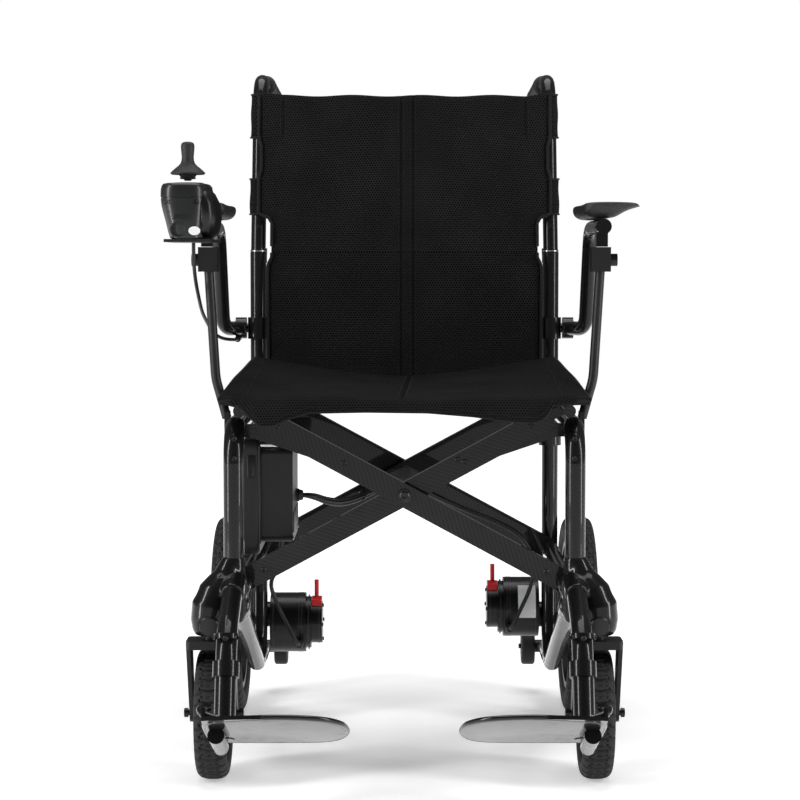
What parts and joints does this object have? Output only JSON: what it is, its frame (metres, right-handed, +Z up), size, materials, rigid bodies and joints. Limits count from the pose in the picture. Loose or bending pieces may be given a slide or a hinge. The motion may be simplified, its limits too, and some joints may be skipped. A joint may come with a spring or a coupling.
{
  "type": "power wheelchair",
  "caption": "Folding power wheelchair: carbon tube frame on a cross brace, hub gear motors, sling seat, flip-up arm rests and an arm-mounted joystick.",
  "frame": {"origin": "on the floor, at the middle of the object's bounding box", "axes": "+Z up, -Y towards the front where the feet go, +X to the right seen from the front"},
  "size_m": [0.632, 0.9691, 0.9737],
  "materials": {
    "carbon": "clear-coated twill carbon fibre",
    "black_paint": "satin black powder coat",
    "steel": "blackened steel",
    "tyre": "solid grey-black tread",
    "rim": "moulded black",
    "rubber": "soft black",
    "motor": "satin black",
    "red_plastic": "moulded red",
    "pad": "soft moulded black",
    "latch": "moulded black",
    "mesh_fabric": "black spacer mesh",
    "controller": "satin dark grey",
    "button": "soft-touch key",
    "case": "satin dark grey"
  },
  "bodies": {
    "left_frame": {"side_tube_left": "carbon", "rear_loop_left": "carbon", "caster_housing_left": "carbon", "leg_tube_left": "carbon", "drive_motor_left": "motor", "anti_tip_arm_left": "black_paint", "arm_stay_left": "black_paint", "battery_case": "case", "control_box": "case", "motor_cable_left": "rubber", "back_panel_lower": "mesh_fabric"},
    "right_frame": {"side_tube_right": "carbon", "rear_loop_right": "carbon", "caster_housing_right": "carbon", "leg_tube_right": "carbon", "drive_motor_right": "motor", "anti_tip_arm_right": "black_paint", "arm_stay_right": "black_paint"},
    "brace_left": {"cross_brace_left": "carbon", "cable_harness": "rubber"},
    "brace_right": {"cross_brace_right": "carbon", "motor_cable_right": "rubber"},
    "pivot_bolt": {"cross_pivot": "steel"},
    "seat": {"seat_cushion": "mesh_fabric"},
    "back_left": {"back_tube_left": "carbon", "push_grip_left": "rubber", "back_panel_upper": "mesh_fabric"},
    "arm_left": {"arm_tube_left": "carbon", "arm_pad_left": "pad", "controller_tray": "controller", "controller_housing": "controller", "joystick_cable": "rubber"},
    "latch_left": {"arm_latch_left": "latch"},
    "caster_left": {"caster_fork_left": "black_paint"},
    "front_wheel_left": {"front_tyre_left": "tyre", "front_rim_left": "rim"},
    "rear_wheel_left": {"rear_tyre_left": "tyre", "rear_rim_left": "rim"},
    "tip_wheel_left": {"anti_tip_wheel_left": "rubber"},
    "lever_left": {"release_lever_left": "red_plastic"},
    "foot_left": {"foot_plate_left": "carbon"},
    "link_left": {"brace_link_left": "carbon"},
    "back_right": {"back_tube_right": "carbon", "push_grip_right": "rubber"},
    "arm_right": {"arm_tube_right": "carbon", "arm_pad_right": "pad"},
    "latch_right": {"arm_latch_right": "latch"},
    "caster_right": {"caster_fork_right": "black_paint"},
    "front_wheel_right": {"front_tyre_right": "tyre", "front_rim_right": "rim"},
    "rear_wheel_right": {"rear_tyre_right": "tyre", "rear_rim_right": "rim"},
    "tip_wheel_right": {"anti_tip_wheel_right": "rubber"},
    "lever_right": {"release_lever_right": "red_plastic"},
    "foot_right": {"foot_plate_right": "carbon"},
    "link_right": {"brace_link_right": "carbon"},
    "gimbal": {"joystick_gimbal": "controller"},
    "stick": {"joystick_knob": "controller"},
    "power_key": {"power_button": "button"},
    "horn_key": {"horn_button": "button"}
  },
  "joints": [
    {"name": "fold", "type": "hinge", "parent": "left_frame", "child": "brace_left", "pos_m": [-0.217, 0, 0.258], "axis": [0, -1, 0], "range_deg": [0, 37.5], "deforming": ["seat_cushion", "back_panel_upper", "back_panel_lower", "cable_harness", "motor_cable_right"]},
    {"name": "brace_cross", "type": "hinge", "parent": "brace_left", "child": "brace_right", "pos_m": [0, 0, 0.375], "axis": [0, -1, 0], "range_deg": [-75.5, 0.5]},
    {"name": "fold_right", "type": "hinge", "parent": "brace_right", "child": "right_frame", "pos_m": [0.217, 0, 0.258], "axis": [0, -1, 0], "range_deg": [-0.5, 38]},
    {"name": "cross_bolt_turn", "type": "hinge", "parent": "brace_left", "child": "pivot_bolt", "pos_m": [0, 0, 0.375], "axis": [0, -1, 0], "range_deg": [-38, 0.5]},
    {"name": "seat_rise", "type": "slide", "parent": "pivot_bolt", "child": "seat", "axis": [0, 0, 1], "range_m": [-0.002, 0.1099]},
    {"name": "link_turn_left", "type": "hinge", "parent": "left_frame", "child": "link_left", "pos_m": [-0.203, 0, 0.46], "axis": [0, -1, 0], "range_deg": [-0.5, 81.88]},
    {"name": "foot_flip_left", "type": "hinge", "parent": "left_frame", "child": "foot_left", "pos_m": [-0.23, -0.3663, 0.08646], "axis": [0, -0.9237, 0.383], "range_deg": [-0.5, 92.38]},
    {"name": "back_fold_left", "type": "hinge", "parent": "left_frame", "child": "back_left", "pos_m": [-0.219, 0.2695, 0.702], "axis": [-1, 0, 0], "range_deg": [0, 95]},
    {"name": "arm_lift_left", "type": "hinge", "parent": "left_frame", "child": "arm_left", "pos_m": [-0.245, 0.252, 0.588], "axis": [-1, 0, 0], "range_deg": [0, 95]},
    {"name": "latch_pull_left", "type": "slide", "parent": "left_frame", "child": "latch_left", "axis": [-1, 0, 0], "range_m": [0, 0.005], "stiffness_N_per_m": 400},
    {"name": "caster_swivel_left", "type": "hinge", "parent": "left_frame", "child": "caster_left", "pos_m": [-0.254, -0.205, 0.2], "axis": [0, 0, 1], "continuous": true},
    {"name": "front_wheel_spin_left", "type": "hinge", "parent": "caster_left", "child": "front_wheel_left", "pos_m": [-0.254, -0.165, 0.0875], "axis": [1, 0, 0], "continuous": true},
    {"name": "rear_wheel_spin_left", "type": "hinge", "parent": "left_frame", "child": "rear_wheel_left", "pos_m": [-0.2635, 0.285, 0.15], "axis": [1, 0, 0], "continuous": true},
    {"name": "tip_wheel_spin_left", "type": "hinge", "parent": "left_frame", "child": "tip_wheel_left", "pos_m": [-0.1975, 0.455, 0.072], "axis": [1, 0, 0], "continuous": true},
    {"name": "lever_turn_left", "type": "hinge", "parent": "left_frame", "child": "lever_left", "pos_m": [-0.134, 0.285, 0.138], "axis": [1, 0, 0], "range_deg": [0, 40]},
    {"name": "link_turn_right", "type": "hinge", "parent": "right_frame", "child": "link_right", "pos_m": [0.203, 0, 0.46], "axis": [0, 1, 0], "range_deg": [-0.5, 81.88]},
    {"name": "foot_flip_right", "type": "hinge", "parent": "right_frame", "child": "foot_right", "pos_m": [0.23, -0.3663, 0.08646], "axis": [0, 0.9237, -0.383], "range_deg": [-0.5, 92.38]},
    {"name": "back_fold_right", "type": "hinge", "parent": "right_frame", "child": "back_right", "pos_m": [0.219, 0.2695, 0.702], "axis": [-1, 0, 0], "range_deg": [0, 95]},
    {"name": "arm_lift_right", "type": "hinge", "parent": "right_frame", "child": "arm_right", "pos_m": [0.245, 0.252, 0.588], "axis": [-1, 0, 0], "range_deg": [0, 95]},
    {"name": "latch_pull_right", "type": "slide", "parent": "right_frame", "child": "latch_right", "axis": [1, 0, 0], "range_m": [0, 0.005], "stiffness_N_per_m": 400},
    {"name": "caster_swivel_right", "type": "hinge", "parent": "right_frame", "child": "caster_right", "pos_m": [0.254, -0.205, 0.2], "axis": [0, 0, 1], "continuous": true},
    {"name": "front_wheel_spin_right", "type": "hinge", "parent": "caster_right", "child": "front_wheel_right", "pos_m": [0.254, -0.165, 0.0875], "axis": [1, 0, 0], "continuous": true},
    {"name": "rear_wheel_spin_right", "type": "hinge", "parent": "right_frame", "child": "rear_wheel_right", "pos_m": [0.2635, 0.285, 0.15], "axis": [1, 0, 0], "continuous": true},
    {"name": "tip_wheel_spin_right", "type": "hinge", "parent": "right_frame", "child": "tip_wheel_right", "pos_m": [0.1975, 0.455, 0.072], "axis": [1, 0, 0], "continuous": true},
    {"name": "lever_turn_right", "type": "hinge", "parent": "right_frame", "child": "lever_right", "pos_m": [0.134, 0.285, 0.162], "axis": [1, 0, 0], "range_deg": [0, 40]},
    {"name": "stick_pitch", "type": "hinge", "parent": "arm_left", "child": "gimbal", "pos_m": [-0.281, -0.205, 0.782], "axis": [1, 0, 0], "range_deg": [-18, 18], "stiffness_Nm_per_rad": 0.2},
    {"name": "stick_roll", "type": "hinge", "parent": "gimbal", "child": "stick", "pos_m": [-0.281, -0.205, 0.782], "axis": [0, 1, 0], "range_deg": [-18, 18], "stiffness_Nm_per_rad": 0.2},
    {"name": "power_press", "type": "slide", "parent": "arm_left", "child": "power_key", "axis": [0, 0, -1], "range_m": [0, 0.0012], "stiffness_N_per_m": 300},
    {"name": "horn_press", "type": "slide", "parent": "arm_left", "child": "horn_key", "axis": [0, 0, -1], "range_m": [0, 0.0012], "stiffness_N_per_m": 300}
  ],
  "couplings": [
    {"joint": "brace_cross", "follows": "fold", "ratio": -2},
    {"joint": "fold_right", "follows": "fold", "ratio": 1},
    {"joint": "cross_bolt_turn", "follows": "fold", "ratio": -1},
    {"joint": "seat_rise", "follows": "fold", "m_per_rad": 0.1649},
    {"joint": "link_turn_left", "follows": "fold", "ratio": 2.17},
    {"joint": "foot_flip_left", "follows": "fold", "ratio": 2.45},
    {"joint": "link_turn_right", "follows": "fold", "ratio": 2.17},
    {"joint": "foot_flip_right", "follows": "fold", "ratio": 2.45},
    {"joint": "back_fold_right", "follows": "back_fold_left", "ratio": 1}
  ]
}
